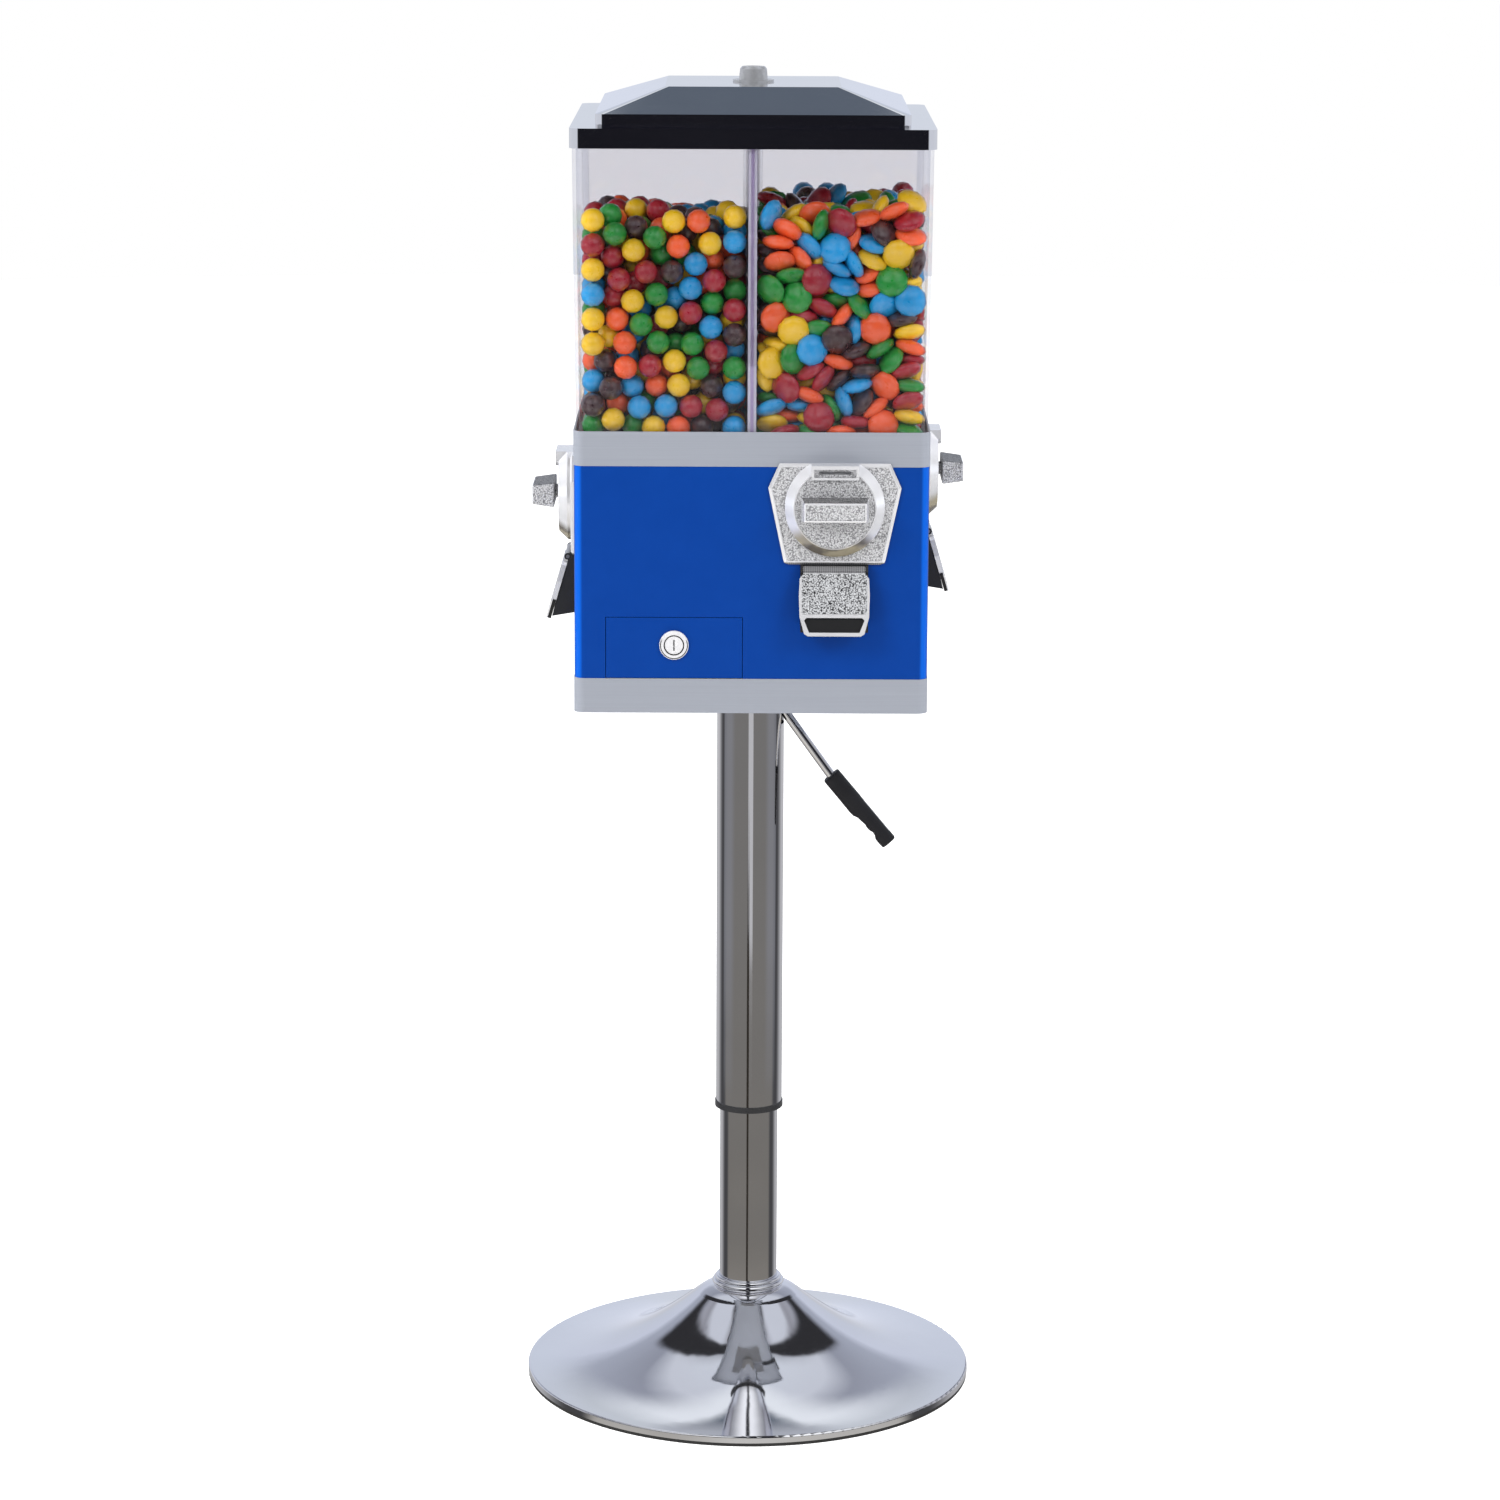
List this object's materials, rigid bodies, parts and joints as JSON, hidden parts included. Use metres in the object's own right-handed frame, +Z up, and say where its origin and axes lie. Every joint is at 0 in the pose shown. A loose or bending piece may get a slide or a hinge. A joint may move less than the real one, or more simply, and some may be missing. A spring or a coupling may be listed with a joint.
{
  "type": "gumball machine",
  "caption": "Four-sided candy vending machine: clear divided hopper over a square cabinet with turn-knob coin mechanisms, on a height-adjustable pedestal.",
  "frame": {"origin": "on the floor, under the middle of the column", "axes": "+Z up along the column; -Y is the face with the coin drawer; +X is that face's right as it is looked at"},
  "size_m": [0.385, 0.385, 1.1337],
  "materials": {
    "chrome_steel": "polished chrome plate on steel",
    "satin_band": "satin plated sheet",
    "blue_paint": "blue enamel, semi-gloss",
    "zinc_casting": "chromed die casting with a pebbled field",
    "black_plastic": "moulded, satin",
    "clear_plastic": "clear moulded styrene",
    "rubber": "moulded",
    "cast_weight": "rough casting",
    "plain_steel": "zinc plated",
    "nylon": "natural nylon",
    "white_plastic": "moulded",
    "gumball_mix": "candy shells in six colours",
    "lentil_mix": "candy shells in six colours"
  },
  "bodies": {
    "stand": {"base_disc": "chrome_steel", "base_rubber": "rubber", "base_weight": "cast_weight", "foot_collar": "chrome_steel", "lower_column": "chrome_steel", "column_bushing": "black_plastic"},
    "piston": {"piston_rod": "plain_steel"},
    "machine": {"gas_cylinder": "plain_steel", "cover_tube": "chrome_steel", "cover_end_ring": "black_plastic", "mount_plate": "plain_steel", "mount_bolts": "plain_steel", "lever_pin": "plain_steel", "bottom_tray": "satin_band", "cabinet_shell": "blue_paint", "top_band": "satin_band", "hopper_deck": "white_plastic", "hopper": "clear_plastic", "divider_lengthwise": "clear_plastic", "divider_crosswise": "clear_plastic", "centre_rod": "plain_steel", "door_pins": "plain_steel", "lentils_front_right": "lentil_mix", "gumballs_back_right": "gumball_mix", "lentils_back_left": "lentil_mix", "gumballs_front_left": "gumball_mix", "coin_plate_front": "zinc_casting", "coin_plate_right": "zinc_casting", "coin_plate_back": "zinc_casting", "coin_plate_left": "zinc_casting", "chute_front": "black_plastic", "chute_right": "black_plastic", "chute_back": "black_plastic", "chute_left": "black_plastic"},
    "lever": {"lever_rod": "chrome_steel", "lever_grip": "black_plastic"},
    "valve": {"valve_button": "nylon"},
    "lid": {"lid": "chrome_steel", "lid_lock_barrel": "chrome_steel"},
    "lid_plug": {"lid_lock_plug": "chrome_steel"},
    "drawer": {"drawer_front": "blue_paint", "drawer_box": "plain_steel", "drawer_lock_barrel": "chrome_steel"},
    "drawer_plug": {"drawer_lock_plug": "chrome_steel"},
    "handle_front": {"handle_front": "zinc_casting", "drive_gear_front": "plain_steel"},
    "wheel_front": {"vend_wheel_front": "nylon"},
    "door_front": {"chute_door_front": "zinc_casting"},
    "handle_right": {"handle_right": "zinc_casting", "drive_gear_right": "plain_steel"},
    "wheel_right": {"vend_wheel_right": "nylon"},
    "door_right": {"chute_door_right": "zinc_casting"},
    "handle_back": {"handle_back": "zinc_casting", "drive_gear_back": "plain_steel"},
    "wheel_back": {"vend_wheel_back": "nylon"},
    "door_back": {"chute_door_back": "zinc_casting"},
    "handle_left": {"handle_left": "zinc_casting", "drive_gear_left": "plain_steel"},
    "wheel_left": {"vend_wheel_left": "nylon"},
    "door_left": {"chute_door_left": "zinc_casting"}
  },
  "joints": [
    {"name": "swivel", "type": "hinge", "parent": "stand", "child": "piston", "pos_m": [0, 0, 0.3], "axis": [0, 0, 1], "continuous": true},
    {"name": "height", "type": "slide", "parent": "piston", "child": "machine", "axis": [0, 0, 1], "range_m": [-0.15, 0.05]},
    {"name": "lever_lift", "type": "hinge", "parent": "machine", "child": "lever", "pos_m": [0.019, -0.006, 0.6209], "axis": [0, -1, 0], "range_deg": [0, 8]},
    {"name": "valve_press", "type": "slide", "parent": "machine", "child": "valve", "axis": [0, 0, -1], "range_m": [0, 0.0027]},
    {"name": "lid_lift", "type": "slide", "parent": "machine", "child": "lid", "axis": [0, 0, 1], "range_m": [0, 0.3]},
    {"name": "lid_key", "type": "hinge", "parent": "lid", "child": "lid_plug", "pos_m": [0, 0, 1.1213], "axis": [0, 0, 1], "range_deg": [0, 90]},
    {"name": "drawer_pull", "type": "slide", "parent": "machine", "child": "drawer", "axis": [0, -1, 0], "range_m": [0, 0.15]},
    {"name": "drawer_key", "type": "hinge", "parent": "drawer", "child": "drawer_plug", "pos_m": [-0.0628, -0.1448, 0.6742], "axis": [0, -1, 0], "range_deg": [0, 90]},
    {"name": "handle_turn_front", "type": "hinge", "parent": "machine", "child": "handle_front", "pos_m": [0.0675, -0.1448, 0.7893], "axis": [0, 1, 0], "continuous": true},
    {"name": "wheel_turn_front", "type": "hinge", "parent": "machine", "child": "wheel_front", "pos_m": [0.0675, -0.0675, 0.8], "axis": [0, 0, 1], "continuous": true},
    {"name": "door_swing_front", "type": "hinge", "parent": "machine", "child": "door_front", "pos_m": [0.0675, -0.1513, 0.7385], "axis": [-1, 0, 0], "range_deg": [0, 60]},
    {"name": "handle_turn_right", "type": "hinge", "parent": "machine", "child": "handle_right", "pos_m": [0.1448, 0.0675, 0.7893], "axis": [-1, 0, 0], "continuous": true},
    {"name": "wheel_turn_right", "type": "hinge", "parent": "machine", "child": "wheel_right", "pos_m": [0.0675, 0.0675, 0.8], "axis": [0, 0, 1], "continuous": true},
    {"name": "door_swing_right", "type": "hinge", "parent": "machine", "child": "door_right", "pos_m": [0.1513, 0.0675, 0.7385], "axis": [0, -1, 0], "range_deg": [0, 60]},
    {"name": "handle_turn_back", "type": "hinge", "parent": "machine", "child": "handle_back", "pos_m": [-0.0675, 0.1448, 0.7893], "axis": [0, -1, 0], "continuous": true},
    {"name": "wheel_turn_back", "type": "hinge", "parent": "machine", "child": "wheel_back", "pos_m": [-0.0675, 0.0675, 0.8], "axis": [0, 0, 1], "continuous": true},
    {"name": "door_swing_back", "type": "hinge", "parent": "machine", "child": "door_back", "pos_m": [-0.0675, 0.1513, 0.7385], "axis": [1, 0, 0], "range_deg": [0, 60]},
    {"name": "handle_turn_left", "type": "hinge", "parent": "machine", "child": "handle_left", "pos_m": [-0.1448, -0.0675, 0.7893], "axis": [1, 0, 0], "continuous": true},
    {"name": "wheel_turn_left", "type": "hinge", "parent": "machine", "child": "wheel_left", "pos_m": [-0.0675, -0.0675, 0.8], "axis": [0, 0, 1], "continuous": true},
    {"name": "door_swing_left", "type": "hinge", "parent": "machine", "child": "door_left", "pos_m": [-0.1513, -0.0675, 0.7385], "axis": [0, 1, 0], "range_deg": [0, 60]}
  ],
  "couplings": [
    {"joint": "valve_press", "follows": "lever_lift", "m_per_rad": 0.0185},
    {"joint": "wheel_turn_front", "follows": "handle_turn_front", "ratio": 0.16667},
    {"joint": "wheel_turn_right", "follows": "handle_turn_right", "ratio": 0.16667},
    {"joint": "wheel_turn_back", "follows": "handle_turn_back", "ratio": 0.16667},
    {"joint": "wheel_turn_left", "follows": "handle_turn_left", "ratio": 0.16667}
  ]
}
